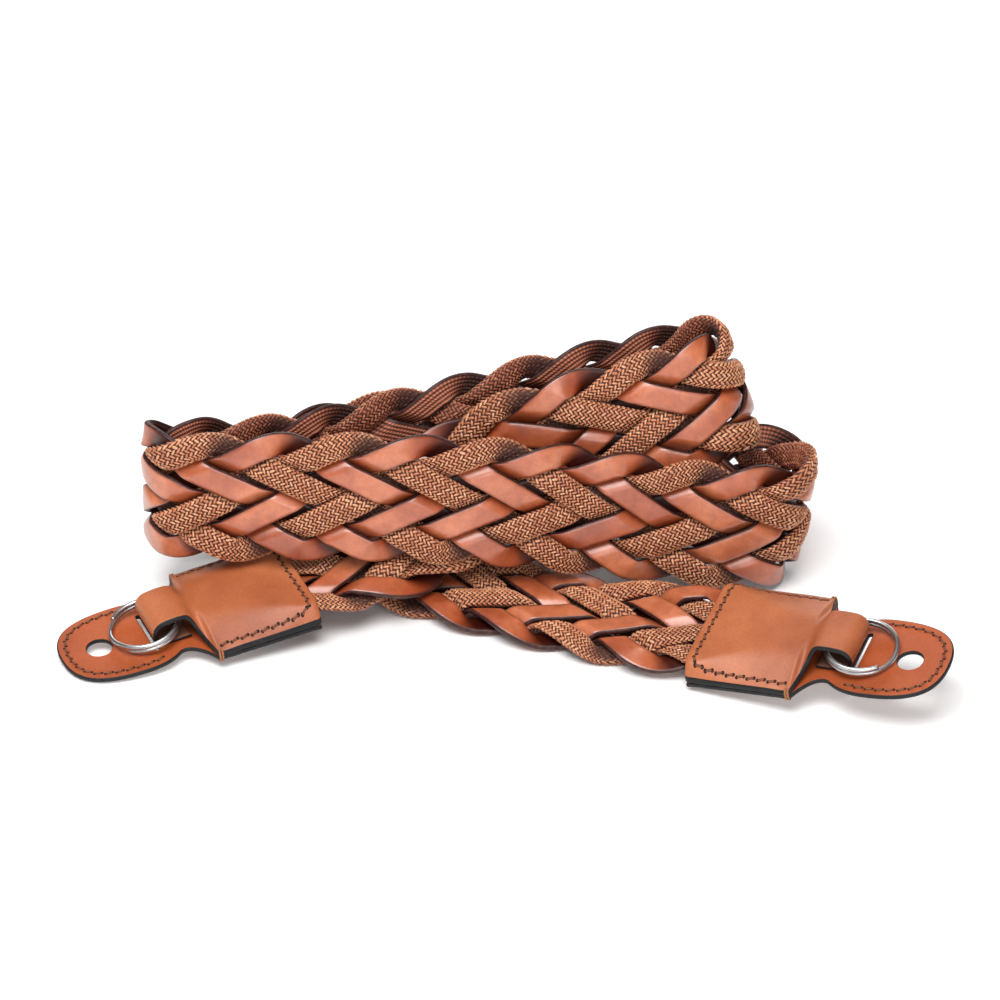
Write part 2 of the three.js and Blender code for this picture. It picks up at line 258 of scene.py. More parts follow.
# Direction of a strand's cross section: along the strands it crosses, swung round at the turns
def section_angle(q):
    turn = np.round(q / BRAID.strands)
    part = np.clip((q - turn * BRAID.strands + BRAID.reach) / (2 * BRAID.reach), 0, 1)
    sweep = mix(SLOPE, math.pi - SLOPE, part)
    return np.where(turn % 2 == 1, -sweep, sweep - math.pi)


# Direction of a strand's own length in the band
def strand_way(q):
    near = 0.01
    return np.arctan2(REACH * (zigzag(q + near) - zigzag(q - near)), 2 * near * STEP)


# Points of a strand at a count of crossings, a place across it and a height over its middle
def strand_points(start, q, a, b):
    s = start + q * STEP
    taper = smooth(1 - np.minimum(s, LENGTH - s) / MOUTH.taper)
    angle = section_angle(q)
    off = a / np.abs(np.sin(angle - strand_way(q)))
    v = (REACH * zigzag(q) + off * np.sin(angle)) * mix(1, MOUTH.narrow, taper)
    h = (BRAID.offset * level(q) + b) * mix(1, MOUTH.press, taper)
    points = band(s + off * np.cos(angle), v, h)
    points[..., 2] = np.maximum(points[..., 2], FLOOR_GAP)
    return points


def strand_start(number):
    turn = BRAID.phase + number * BRAID.period / BRAID.strands
    return turn % BRAID.period - BRAID.period


# Counts of crossings along a strand, about a given distance apart
def strand_counts(start, spacing):
    first = (-MOUTH.insert - start) / STEP
    last = (LENGTH + MOUTH.insert - start) / STEP
    return np.linspace(first, last, int((last - first) * STRAND_STEP / spacing))


# Mesh from points in millimetres, faces and a material for each face
def make_mesh(name, points, faces, looks, kinds=None, smooth_faces=True):
    mesh = bpy.data.meshes.new(name)
    mesh.from_pydata((np.asarray(points).reshape(-1, 3) * MM).tolist(), [], faces)
    for look in looks:
        mesh.materials.append(look)
    if kinds is not None:
        mesh.polygons.foreach_set("material_index", np.asarray(kinds, np.int32))
    mesh.polygons.foreach_set("use_smooth", np.broadcast_to(smooth_faces, len(mesh.polygons)).tolist())
    mesh.update()
    piece = bpy.data.objects.new(name, mesh)
    bpy.context.scene.collection.objects.link(piece)
    return piece


def add_values(piece, name, values):
    layer = piece.data.attributes.new(name, "FLOAT", "POINT")
    layer.data.foreach_set("value", np.asarray(values, np.float32).ravel())


def place(piece, body, slot, *nodes):
    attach(piece, body)
    if nodes:
        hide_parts(*nodes)


# Quads of a tube through rows of rings that have the same count
def tube_faces(rows, count, base=0):
    i, k = np.meshgrid(np.arange(rows - 1), np.arange(count), indexing="ij")
    a = base + i * count + k
    b = base + i * count + (k + 1) % count
    return np.stack([a, b, b + count, a + count], -1).reshape(-1, 4).tolist()


# Tube with flat ends: its faces, and which of them are smooth
def closed_tube(rows, count):
    faces = tube_faces(rows, count)
    caps = [list(range(count))[::-1], list(range((rows - 1) * count, rows * count))]
    return faces + caps, np.arange(len(faces) + 2) < len(faces)


# Unit circle as a row of points
def circle(count):
    turn = np.linspace(0, 2 * math.pi, count, endpoint=False)
    return np.stack([np.cos(turn), np.sin(turn)], -1)


# Outline of a leather strand's section, with the kinds of its faces and the ribs of its back
def leather_section():
    half, t, e = LEATHER.width / 2, LEATHER.thick / 2, LEATHER.bevel
    inner = half - LEATHER.margin
    steps, top_steps = 4 * LEATHER.ribs, 8
    back = np.linspace(-inner, inner, steps + 1)
    rib = np.sin(np.linspace(0, math.pi * LEATHER.ribs, steps + 1)) ** 2
    top = np.linspace(half - e, e - half, top_steps + 1)
    edge_a = [half - LEATHER_EDGE.low_in, half, half - LEATHER_EDGE.high_in]
    edge_b = [LEATHER_EDGE.low_up - t, 0.0, t - e - LEATHER.crown]
    a = np.concatenate([back, edge_a, top, -np.array(edge_a[::-1])])
    b_back = -t + LEATHER.rib_depth * (1 - rib)
    b_top = t - LEATHER.crown * (top / half) ** 2
    b = np.concatenate([b_back, edge_b, b_top, edge_b[::-1]])
    edge = [EDGE] * (len(edge_a) + 1)
    kinds = [BACK] * steps + edge + [GRAIN] * top_steps + edge
    ribs = np.concatenate([rib, np.zeros(len(a) - len(rib))])
    return a, b, kinds, ribs


def leather_strand(node, number, looks):
    start = strand_start(number)
    a, b, kinds, ribs = leather_section()
    q = strand_counts(start, SPACING.leather)
    points = strand_points(start, *np.broadcast_arrays(q[:, None], a, b))
    faces = tube_faces(len(q), len(a))
    piece = make_mesh(node + "_skin", points, faces, looks, np.tile(kinds, len(q) - 1))
    add_values(piece, "rib", np.tile(ribs, len(q)))
    add_values(piece, "across", np.tile(a / LEATHER.width * 2, len(q)))
    add_values(piece, "along", np.repeat(q * STRAND_STEP * MM, len(a)))
    add_values(piece, "over", np.repeat((level(q) + 1) / 2, len(a)))
    place(piece, "strap", "leather", node)


# Round of a cord's section by distance round it: place across, height, its normal and its whole length
def cord_round(c):
    phi = np.linspace(0, 2 * math.pi, CORD.points)
    flat = np.stack([np.cos(phi), np.sin(phi)], -1)
    line = np.sign(flat) * np.abs(flat) ** CORD.power * (CORD.width / 2, CORD.thick / 2)
    far = distances(line)

    def at(distance):
        return [np.interp(np.mod(distance, far[-1]), far, line[:, k]) for k in range(2)]

    near, step = c * far[-1], 0.05
    a, b = at(near)
    ta, tb = (ahead - behind for ahead, behind in zip(at(near + step), at(near - step)))
    size = np.hypot(ta, tb)
    return a, b, tb / size, -ta / size, far[-1]


# Eight points and six faces of one float of the cord's sheath, lying along its own length
FLOAT_POINTS = [
    (-1, 0, 0), (1, 0, 0), (-0.5, 1, 0), (0.5, 1, 0),
    (-0.5, -1, 0), (0.5, -1, 0), (-0.45, 0, 1), (0.45, 0, 1),
]
FLOAT_FACES = [(0, 6, 2), (0, 4, 6), (1, 3, 7), (1, 7, 5), (2, 6, 7, 3), (4, 5, 7, 6)]


# Floats of the sheath as slanted columns that lean left and right by turns
def cord_floats(start, q):
    around = cord_round(np.zeros(1))[4]
    margin, pitch = 0.05, WEAVE.pitch / STRAND_STEP
    rows = np.arange(q[0] + margin, q[-1] - margin, pitch)
    column, row = np.meshgrid(np.arange(WEAVE.columns), rows, indexing="ij")
    odd = column % 2
    shape = np.array(FLOAT_POINTS)
    u = shape[:, 0] * WEAVE.long / 2
    w = shape[:, 1] * WEAVE.wide / 2
    lean = np.radians(WEAVE.slant) * (1 - 2 * odd)[..., None]
    ahead = u * np.cos(lean) - w * np.sin(lean)
    round_way = u * np.sin(lean) + w * np.cos(lean)
    counts = (row + odd * pitch / 2)[..., None] + ahead / STRAND_STEP
    a, b, na, nb, _ = cord_round(column[..., None] / WEAVE.columns + round_way / around)
    rise = mix(-WEAVE.sink, WEAVE.high, shape[:, 2])
    skew = section_angle(counts) - strand_way(counts)
    square = counts - a * np.cos(skew) / np.abs(np.sin(skew)) / STRAND_STEP
    points = strand_points(start, square, a + na * rise, b + nb * rise)
    return points.reshape(-1, 3), (level(square) * nb + 1) / 2, (nb + 1) / 2


def cord_strand(node, number, looks):
    start = strand_start(number)
    q = strand_counts(start, SPACING.cord)
    a, b, *_ = cord_round(-np.arange(CORD.sides) / CORD.sides)
    core = strand_points(start, *np.broadcast_arrays(q[:, None], a, b)).reshape(-1, 3)
    floats, over, grain = cord_floats(start, q)
    count = len(floats) // len(FLOAT_POINTS)
    faces = tube_faces(len(q), CORD.sides)
    kinds = [CORE] * len(faces) + [FLOATS] * (count * len(FLOAT_FACES))
    for i in range(count):
        base = len(core) + i * len(FLOAT_POINTS)
        faces.extend([tuple(base + k for k in face) for face in FLOAT_FACES])
    piece = make_mesh(node + "_sheath", np.vstack([core, floats]), faces, looks, kinds)
    tone = np.repeat(RANDOM.random(count), len(FLOAT_POINTS))
    for label, values in (("tone", tone), ("over", over), ("grain", grain)):
        add_values(piece, label, np.concatenate([np.zeros(len(core)), values.ravel()]))
    place(piece, "strap", "paracord", node)


# Levels of an end, measured out of the braid's middle plane
GUARD_TOP = -(BRAID.offset + SOLID_CORD_THICK / 2) * MOUTH.press - 1.5 * GAP
RETURN_TOP = GUARD_TOP + GAP + LOOP.return_thick
AXIS_LEVEL = RETURN_TOP + LOOP.radius


# Frame of an end: its mouth, out along it, across it and out of its grain side
def end_frame(s, outward):
    point, along, across, out = frames(np.array(s))
    return point, np.stack([along * outward, across * -outward, out])


def to_world(local, end):
    origin, axes = end
    return origin + np.asarray(local) @ axes


# Underside of the cover over the guard: place along, height at the edges and the crown, flat share
COVER_ROWS = [
    (0, 0, 3.75, 0.81),
    (3, 0, 3.75, 0.81),
    (8, 0, 3.95, 0.66),
    (15, 0, 4.1, 0.46),
    (23, 0, 4.15, 0.3),
    (30, 0, 4.4, 0.2),
    (31.4, 1, 4.7, 0.1),
    (32.8, 3.2, 5.3, 0.1),
    (34, 5.5, 6, 0.1),
]
HUMP = LOOP.return_thick + 2 * LOOP.radius
NECK_FLAT = 0.1


# Half width of the cover along the end: it narrows to the neck, and its mouth has round corners
def cover_half(l):
    part = np.clip((l - COVER.corner) / (COVER.neck_at - COVER.corner), 0, 1)
    half = mix(COVER.half, COVER.neck_half, 1 - (1 - part) ** 2)
    corner = COVER_EDGE.corner
    return half - corner + np.sqrt(np.maximum(corner**2 - np.maximum(corner - l, 0) ** 2, 0))


# Line of the cover's crown along the end: over the body, the ring, the fold and back under
def cover_profile():
    base = GUARD_TOP + GAP
    rows = [(l, 0, base + crown, edge - crown, flat, 0) for l, edge, crown, flat in COVER_ROWS]
    rows.append((COVER.neck_at, 0, base + HUMP, 0, NECK_FLAT, 0))
    bend, fold_rows = LOOP.fold_at - LOOP.radius, 7
    for t in np.linspace(0, math.pi, fold_rows):
        height = AXIS_LEVEL + LOOP.radius * math.cos(t)
        rows.append((bend + LOOP.radius * math.sin(t), 0, height, 0, NECK_FLAT, 1))
    rows.append((LOOP.return_to, 0, RETURN_TOP, 0, NECK_FLAT, 1))
    dense = spline_rows(rows, steps=8)
    crown = dense[:, [0, 2]]
    way = unit(np.gradient(crown, axis=0))
    return crown, np.stack([-way[:, 1], way[:, 0]], -1), dense[:, 3:5], dense[:, 5] > 0.5


CROWN, CROWN_NORMAL, CROWN_FALL, FOLDED = cover_profile()


# Fall of the cover's sheet from its crown to a place across it, as a share of its half width
def cover_fall(share, fall, flat):
    part = np.clip((np.abs(share) - flat) / (1 - flat), 0, 1)
    return fall * mix(smooth(part), part**2, 0.5)


# Section of the cover's sheet: places across, inset of its edges, depth through it, and kinds of face
def cover_section():
    under, top = np.linspace(-1, 1, 13), np.linspace(1, -1, 37)
    wall = np.array([0.25, 0.75])
    places = np.concatenate([under, [1, 1], top, [-1, -1]])
    depth = np.concatenate([np.zeros(len(under)), wall, np.ones(len(top)), wall[::-1]])
    inset = np.where(depth == 1, COVER_EDGE.bevel, 0)
    edge = [EDGE] * (len(wall) + 1)
    kinds = [BACK] * (len(under) - 1) + edge + [GRAIN] * (len(top) - 1) + edge
    return places, inset, depth, kinds


def cover(name, end, looks):
    places, inset, depth, kinds = cover_section()
    folded = FOLDED[:, None]
    l = CROWN[:, :1]
    half = np.where(folded, COVER.neck_half, cover_half(l))
    v = places * half - np.sign(places) * np.minimum(inset, np.abs(places) * half)
    thinned = mix(COVER.thick, LOOP.return_thick, (1 - CROWN_NORMAL[:, 1:]) / 2)
    lift = depth * np.where(folded, thinned, COVER.thick)
    fall = cover_fall(v / half, CROWN_FALL[:, :1], CROWN_FALL[:, 1:])
    n = CROWN[:, 1:] + fall + lift * CROWN_NORMAL[:, 1:]
    local = np.stack([l + lift * CROWN_NORMAL[:, :1], v, n], -1)
    rows = len(CROWN)
    faces, rounded = closed_tube(rows, len(places))
    kinds = np.concatenate([np.tile(kinds, rows - 1), [EDGE, EDGE]])
    piece = make_mesh(f"end_cover_{name}_skin", to_world(local, end), faces, looks, kinds, rounded)
    place(piece, "strap", "leather", f"end_cover_{name}")


# Points of a cubic curve
def cubic(a, b, c, d, steps=14):
    a, b, c, d = (np.array(p, float) for p in (a, b, c, d))
    t = (np.arange(steps) / steps)[:, None]
    return (1 - t) ** 3 * a + 3 * (1 - t) ** 2 * t * b + 3 * (1 - t) * t**2 * c + t**3 * d


# Control points of the guard's outline, measured from its mouth, its waist, the flap's side and its tip
CURVE = Sizes(mouth=0.6, pull=4.0, neck_out=1.5, side=11.0, tip_back=4.0, tip_half=9.0)
SWELL = Sizes(first=3.0, first_in=1.0, second=6.0)


# Outline of the guard: square body, waist, and a round ended flap past the ring
def guard_outline():
    g, f = GUARD, FLAP
    w = g.waist_at
    corner, neck = (COVER.corner, -g.half), (w, -g.waist_half - CURVE.neck_out)
    pull = np.array([w - CURVE.pull, -g.waist_half])
    inward = cubic(corner, mix(np.array(corner), pull, 2 / 3), mix(np.array(neck), pull, 2 / 3), neck)
    side = (w + CURVE.side, -f.half)
    swell = cubic(neck, (w + SWELL.first, SWELL.first_in - f.half), (w + SWELL.second, -f.half), side)
    tip = cubic(side, (f.tip - CURVE.tip_back, -f.half), (f.tip, -CURVE.tip_half), (f.tip, 0), steps=24)
    body = np.linspace((CURVE.mouth, -g.half), corner, 10, endpoint=False)
    lower = np.vstack([body, inward, swell, tip])
    upper = lower[::-1] * (1, -1)
    return np.vstack([lower, [(f.tip, 0)], upper])


# Outline moved inwards by a distance
def inset_outline(points, by):
    way = unit(np.roll(points, -1, axis=0) - np.roll(points, 1, axis=0))
    return points + np.stack([-way[:, 1], way[:, 0]], -1) * by


# Round hole of the flap, grown by a distance
def flap_hole(grow):
    return (FLAP.hole + grow) * circle(RIM.hole_sides) + (FLAP.hole_at, 0)


# Slit of the flap beside the fold, grown by a distance
def flap_slit(grow):
    way = circle(RIM.hole_sides)
    across = np.sign(way[:, 1]) * (SLIT.half - SLIT.wide / 2)
    return (SLIT.wide / 2 + grow) * way + np.column_stack([np.full(len(way), SLIT.at), across])


# Walls of the guard as rows of rings: its outline, its hole and its slit, with rounded rims
def guard_walls():
    low, high, e = GUARD_TOP - GUARD.thick, GUARD_TOP, RIM.deep
    rim = [(e, low), (RIM.slight, low + e / 2), (0, low + e)]
    rim += [(0, high - e), (RIM.slight, high - e / 2), (e, high)]
    outline = guard_outline()
    walls = [[(inset_outline(outline, i), z) for i, z in rim]]
    walls += [[(shape(i * RIM.hole_share), z) for i, z in rim[::-1]] for shape in (flap_hole, flap_slit)]
    return [[np.column_stack([flat, np.full(len(flat), z)]) for flat, z in wall] for wall in walls]


def guard(name, end, looks):
    faces, tops, lows, base = [], [], [], 0
    walls = guard_walls()
    for number, wall in enumerate(walls):
        count = len(wall[0])
        faces += tube_faces(len(wall), count, base)
        last = base + (len(wall) - 1) * count
        rims = [list(range(base, base + count)), list(range(last, last + count))]
        low, top = rims if number == 0 else rims[::-1]
        lows.append(low)
        tops.append(top)
        base += len(wall) * count
    points = np.vstack([ring for wall in walls for ring in wall])
    kinds = [EDGE] * len(faces)
    for loops, kind, way in ((tops, GRAIN, 1), (lows, BACK, -1)):
        index = sum(loops, [])
        filled = tessellate_polygon([[Vector(points[k]) for k in loop] for loop in loops])
        faces += [turned(points, tuple(index[k] for k in tri), way) for tri in filled]
        kinds += [kind] * len(filled)
    rounded = np.array(kinds) == EDGE
    piece = make_mesh(f"flap_{name}_skin", to_world(points, end), faces, looks, kinds, rounded)
    place(piece, "strap", "leather", f"flap_{name}")


# Triangle with its corners in the order that makes it face up or down
def turned(points, tri, way):
    a, b, c = (points[k] for k in tri)
    up = np.cross(b - a, c - a)[2]
    return tri if up * way > 0 else tri[::-1]


# Split ring of two flat turns with a jog between them
def split_ring(name, end, look):
    steps, sides = 240, 14
    turns = np.linspace(RING.split, 2 - RING.split, steps)[:, None]
    turn = turns * 2 * math.pi
    rise = WIRE.pitch * (smooth((turns - WIRE.jog_at) / WIRE.jog_long) - 0.5)
    a = -np.arange(sides) / sides * 2 * math.pi
    r = RING.radius + WIRE.radius * np.cos(a)
    l = RING.centre_at - LOOP.axis_at + r * np.cos(turn)
    v = r * np.sin(turn)
    n = rise + WIRE.radius * np.sin(a)
    droop = math.radians(RING.droop)
    l, n = l * math.cos(droop) + n * math.sin(droop), n * math.cos(droop) - l * math.sin(droop)
    local = np.stack(np.broadcast_arrays(l + LOOP.axis_at, v, n + AXIS_LEVEL), -1)
    faces, rounded = closed_tube(steps, sides)
    piece = make_mesh(f"split_ring_{name}_wire", to_world(local, end), faces, [look], None, rounded)
    place(piece, f"ring_{name}", "steel", f"split_ring_{name}")


# Round thread through a row of points, thinner at its ends
def thread(points, radius, sides=8):
    points = np.asarray(points, float)
    way = unit(np.gradient(points, axis=0))
    helper = np.array([0.3, 0.2, 1.0])
    one = unit(np.cross(way, helper))
    two = np.cross(way, one)
    a = np.arange(sides) / sides * 2 * math.pi
    blunt = 0.25
    size = radius * np.sqrt(np.sin(np.linspace(blunt, math.pi - blunt, len(points))))
    ring = one[:, None] * np.cos(a)[:, None] + two[:, None] * np.sin(a)[:, None]
    return (points[:, None] + ring * size[:, None, None]).reshape(-1, 3), tube_faces(len(points), sides)


# Joins point and face lists into one
def joined(parts):
    points, faces = [], []
    for more, more_faces in parts:
        base = sum(len(p) for p in points)
        points.append(more)
        faces += [tuple(base + k for k in face) for face in more_faces]
    return np.vstack(points), faces


# Places at equal distances along a line of points
def spaced(line, pitch):
    far = distances(line)
    count = max(2, round(far[-1] / pitch) + 1)
    at = np.linspace(0, far[-1], count)
    return np.stack([np.interp(at, far, line[:, k]) for k in range(line.shape[1])], -1)


# Flat vector turned by an angle in degrees
def rotated(v, degrees):
    c, s = math.cos(math.radians(degrees)), math.sin(math.radians(degrees))
    return np.array([v[0] * c - v[1] * s, v[0] * s + v[1] * c])


# One stitch between two places on a face: a thread that dips at both ends, and the holes it goes into
def stitch(a, b, height):
    middle, half = (a + b) / 2, (b - a) / 2
    half = rotated(half / np.linalg.norm(half) * STITCH.long / 2, STITCH.slant)
    k = np.linspace(-1, 1, 9)
    flat = middle + k[:, None] * half
    lift = STITCH.rise - STITCH.dip * k**4
    line = np.column_stack([flat, height(flat[:, 0], flat[:, 1]) + lift])
    holes = [pricked(middle + side * half * STITCH_HOLE.at, height) for side in (-1, 1)]
    return thread(line, STITCH.radius), holes


# Disc where the thread goes into the leather, painted dark as the shade in its hole
def pricked(at, height):
    sides = STITCH_HOLE.sides
    points = np.vstack([at + STITCH_HOLE.radius * circle(sides), at])
    z = height(points[:, 0], points[:, 1]) + STITCH_HOLE.rise
    return np.column_stack([points, z]), [(k, (k + 1) % sides, sides) for k in range(sides)]


# Height of the cover's and of the guard's grain side at a place along and across an end
def cover_top(l, v):
    body = ~FOLDED
    crown, fall, flat = (np.interp(l, CROWN[body, 0], c[body]) for c in (CROWN[:, 1], *CROWN_FALL.T))
    return crown + COVER.thick + cover_fall(v / cover_half(l), fall, flat)


def guard_face(l, v):
    return np.full(np.shape(l), GUARD_TOP)


# Lines of stitches of an end: round three sides of the cover, and round the flap
def stitch_lines():
    out = COVER.half - SEAM.inset
    far, near = COVER.corner - SEAM.from_corner, SEAM.inset
    side = [(far, out), (near + SEAM.corner, out), (near, out - SEAM.corner)]
    sides = np.array(side + [(l, -v) for l, v in side[::-1]])
    flap = inset_outline(guard_outline(), SEAM.inset)
    flap = flap[flap[:, 0] > GUARD.waist_at + SEAM.past_waist]
    return [(sides, cover_top), (flap, guard_face)]


def stitches(name, end, dark, pierced):
    threads, holes = [], []
    for line, height in stitch_lines():
        places = spaced(line, STITCH.pitch)
        for a, b in zip(places[:-1], places[1:]):
            one, two = stitch(a, b, height)
            threads.append(one)
            holes += two
    for label, parts, look in (("stitches", threads, dark), ("stitch_holes", holes, pierced)):
        points, faces = joined(parts)
        place(make_mesh(f"{label}_{name}", to_world(points, end), faces, [look]), "strap", "leather")


# Thread wrapped round both layers at each waist corner
def bar_tacks(name, end, look):
    top = GUARD_TOP + GAP + COVER.thick
    low = GUARD_TOP - GUARD.thick
    path = [(v, top + n) for v, n in TACK_TOP]
    path.append((TACK.half, (top + low) / 2))
    path += [(v, low + n) for v, n in TACK_LOW]
    parts = []
    for side in (-1, 1):
        for back in TACK.from_corner:
            rows = [(COVER.corner - back, v * side, n, 0) for v, n in path]
            parts.append(thread(spline_rows(rows, steps=4)[:, :3], TACK.radius))
    points, faces = joined(parts)
    place(make_mesh(f"bar_tacks_{name}", to_world(points, end), faces, [look]), "strap", "leather")


# Sockets of the mix node for colours
MIX_SHARE, MIX_COLOUR, MIX_SHADE, MIX_RESULT = 0, 6, 7, 2


# Node helpers for materials
class Look:
    def __init__(self, name, rough, metal=0.0, specular=0.5):
        self.material = bpy.data.materials.new(name)
        self.material.use_nodes = True
        self.tree = self.material.node_tree
        self.shader = self.tree.nodes["Principled BSDF"]
        self.constant("Metallic", metal)
        self.constant("Roughness", rough)
        self.constant("Specular IOR Level", specular)

    def constant(self, socket, value):
        self.shader.inputs[socket].default_value = value

    def node(self, kind, **values):
        made = self.tree.nodes.new(kind)
        for key, value in values.items():
            if key in made.inputs:
                made.inputs[key].default_value = value
            else:
                setattr(made, key, value)
        return made

    def link(self, a, b):
        self.tree.links.new(a, b)

    def position(self):
        return self.node("ShaderNodeTexCoord").outputs["Object"]

    def noise(self, scale, detail=3.0):
        made = self.node("ShaderNodeTexNoise", Scale=scale, Detail=detail)
        self.link(self.position(), made.inputs["Vector"])
        return made.outputs["Fac"]

    def cells(self, scale):
        made = self.node("ShaderNodeTexVoronoi", Scale=scale)
        self.link(self.position(), made.inputs["Vector"])
        return made.outputs["Distance"]

    def value(self, name):
        return self.node("ShaderNodeAttribute", attribute_name=name).outputs["Fac"]

    def ramp(self, factor, stops, colours):
        made = self.node("ShaderNodeValToRGB")
        points = made.color_ramp.elements
        while len(points) < len(stops):
            points.new(0.5)
        for point, at, colour in zip(points, stops, colours):
            point.position = at
            point.color = (*colour, 1)
        self.link(factor, made.inputs["Fac"])
        return made.outputs["Color"]

    # Colour multiplied by a shade, in a share from 0 to 1
    def shaded(self, share, colour, shade):
        made = self.node("ShaderNodeMix", data_type="RGBA", blend_type="MULTIPLY")
        made.inputs[MIX_SHARE].default_value = share
        self.link(colour, made.inputs[MIX_COLOUR])
        self.link(shade, made.inputs[MIX_SHADE])
        return made.outputs[MIX_RESULT]

    def colour(self, socket):
        self.link(socket, self.shader.inputs["Base Color"])

    def mapped(self, factor, low, high, start=0.0, end=1.0):
        made = self.node("ShaderNodeMapRange")
        ranges = (("From Min", start), ("From Max", end), ("To Min", low), ("To Max", high))
        for socket, value in ranges:
            made.inputs[socket].default_value = value
        self.link(factor, made.inputs["Value"])
        return made.outputs["Result"]

    def roughness(self, factor, low, high):
        self.link(self.mapped(factor, low, high), self.shader.inputs["Roughness"])

    # Layers of bump: height, strength and distance in metres
    def bump(self, *layers):
        last = None
        for height, strength, distance in layers:
            made = self.node("ShaderNodeBump", Strength=strength, Distance=distance)
            self.link(height, made.inputs["Height"])
            if last:
                self.link(last, made.inputs["Normal"])
            last = made.outputs["Normal"]
        self.link(last, self.shader.inputs["Normal"])


# Smooth tanned leather: cloudy colour, fine pores and creases
def leather_look(name, tones, rough, coat=0.0):
    look = Look(name, rough)
    look.constant("Coat Weight", coat)
    look.constant("Coat Roughness", 0.6)
    cloud = look.ramp(look.noise(45, 4), (0.36, 0.5, 0.64), tones)
    speck = look.ramp(look.noise(1500, 2), (0.3, 0.6), ((0.78, 0.74, 0.7), WHITE))
    look.colour(look.shaded(0.55, cloud, speck))
    look.roughness(look.noise(300, 3), rough - 0.06, rough + 0.1)
    look.bump((look.cells(1500), 0.18, 0.00012), (look.noise(500, 4), 0.16, 0.0002))
    return look.material


# Grain side of a braided strand, darker towards its edges, with painted shade where it dives under, where its
# coat is also dimmed as painted shade on its sheen
def strand_look():
    look = Look("strand_leather", 0.42)
    cloud = look.ramp(look.noise(60, 4), (0.34, 0.5, 0.67), TONES.strand)
    mottle = look.ramp(look.noise(420, 3), (0.36, 0.58), ((0.8, 0.74, 0.7), WHITE))
    speck = look.ramp(look.noise(1300, 2), (0.3, 0.6), ((0.8, 0.76, 0.72), WHITE))
    edge = look.node("ShaderNodeMath", operation="ABSOLUTE")
    look.link(look.value("across"), edge.inputs[0])
    burnt = look.ramp(edge.outputs[0], (0.7, 0.97), (WHITE, (0.45, 0.36, 0.34)))
    over = look.value("over")
    # Painted shade where the strand dives under the others
    dive_shade = look.ramp(over, (0.03, 0.4, 0.85), ((0.1, 0.045, 0.03), (0.86, 0.72, 0.64), WHITE))
    tone = look.shaded(0.5, look.shaded(0.7, cloud, mottle), speck)
    look.colour(look.shaded(1.0, look.shaded(0.8, tone, burnt), dive_shade))
    look.roughness(look.noise(250, 3), 0.32, 0.46)
    # Coat weight falls where the strand dives under: painted shade on its sheen
    look.link(look.mapped(over, 0, 0.9, start=0.2, end=0.75), look.shader.inputs["Coat Weight"])
    look.constant("Coat Roughness", 0.33)
    look.constant("Coat IOR", 1.65)
    look.bump((look.cells(1700), 0.15, 0.0001), (look.noise(450, 4), 0.15, 0.0002))
    return look.material


# Painted edge, slightly worn
def edge_look(name, tones, rough):
    look = Look(name, rough, specular=0.35)
    look.colour(look.ramp(look.noise(700, 3), (0.45, 0.75), tones))
    look.bump((look.noise(900, 3), 0.2, 0.0001))
    return look.material


# Corded lining: painted shade in the valleys and painted light on the ridges, with fine cross ribs that have
# painted shade in their troughs
def lining_look():
    look = Look("strand_lining", 0.62)
    # Painted light on the ridges and painted shade in the valleys of the ribs
    rib_light_and_shade = look.ramp(look.value("rib"), (0.1, 0.8), TONES.lining)
    wave = look.node("ShaderNodeMath", operation="SINE")
    scaled = look.node("ShaderNodeMath", operation="MULTIPLY")
    scaled.inputs[1].default_value = 2 * math.pi / (LEATHER.cross_rib * MM)
    look.link(look.value("along"), scaled.inputs[0])
    look.link(scaled.outputs[0], wave.inputs[0])
    # Painted shade in the troughs of the cross ribs
    dash_shade = look.ramp(wave.outputs[0], (0.0, 0.7), ((0.3, 0.2, 0.18), WHITE))
    # Painted shade where the lining faces into the braid
    dive_shade = look.ramp(look.value("over"), (0.5, 0.97), (WHITE, (0.12, 0.08, 0.07)))
    look.colour(look.shaded(1.0, look.shaded(0.7, rib_light_and_shade, dash_shade), dive_shade))
    look.bump((wave.outputs[0], 0.3, 0.00012))
    return look.material


# Nylon floats, each with its own tone, with painted shade on the back of the braid and where the cord dives
# under
def float_look():
    look = Look("cord_floats", 0.5)
    tone = look.ramp(look.value("tone"), (0.0, 0.5, 1.0), TONES.floats)
    speck = look.ramp(look.noise(2500, 2), (0.3, 0.65), ((0.7, 0.66, 0.62), WHITE))
    # Painted shade where the cord dives under
    dive_shade = look.ramp(look.value("over"), (0.05, 0.45), ((0.12, 0.08, 0.07), WHITE))
    # Painted shade on the back of the braid, inside the coil
    side = look.ramp(look.value("grain"), (0.3, 0.62), ((0.62, 0.45, 0.43), WHITE))
    tone = look.shaded(1.0, look.shaded(0.6, tone, speck), side)
    look.colour(look.shaded(1.0, tone, dive_shade))
    look.constant("Sheen Weight", 0.15)
    look.bump((look.noise(3500, 2), 0.35, 0.0001))
    return look.material


# Body of a cord under its floats, painted dark as the shade between the floats
def core_shade_look():
    look = Look("cord_core_shade", 0.8)
    look.colour(look.ramp(look.noise(1500, 2), (0.3, 0.7), TONES.core))
    return look.material


# Waxed thread of the stitches and the tacks
def thread_look(name, tones):
    look = Look(name, 0.6)
    look.colour(look.ramp(look.noise(1800, 3), (0.3, 0.7), tones))
    look.bump((look.noise(2600, 2), 0.4, 0.0001))
    return look.material


# Polished steel, slightly scuffed
def steel_look():
    look = Look("ring_steel", 0.24, metal=1.0)
    look.colour(look.ramp(look.noise(400, 3), (0.3, 0.7), TONES.steel))
    look.roughness(look.noise(300, 2), 0.26, 0.36)
    return look.material


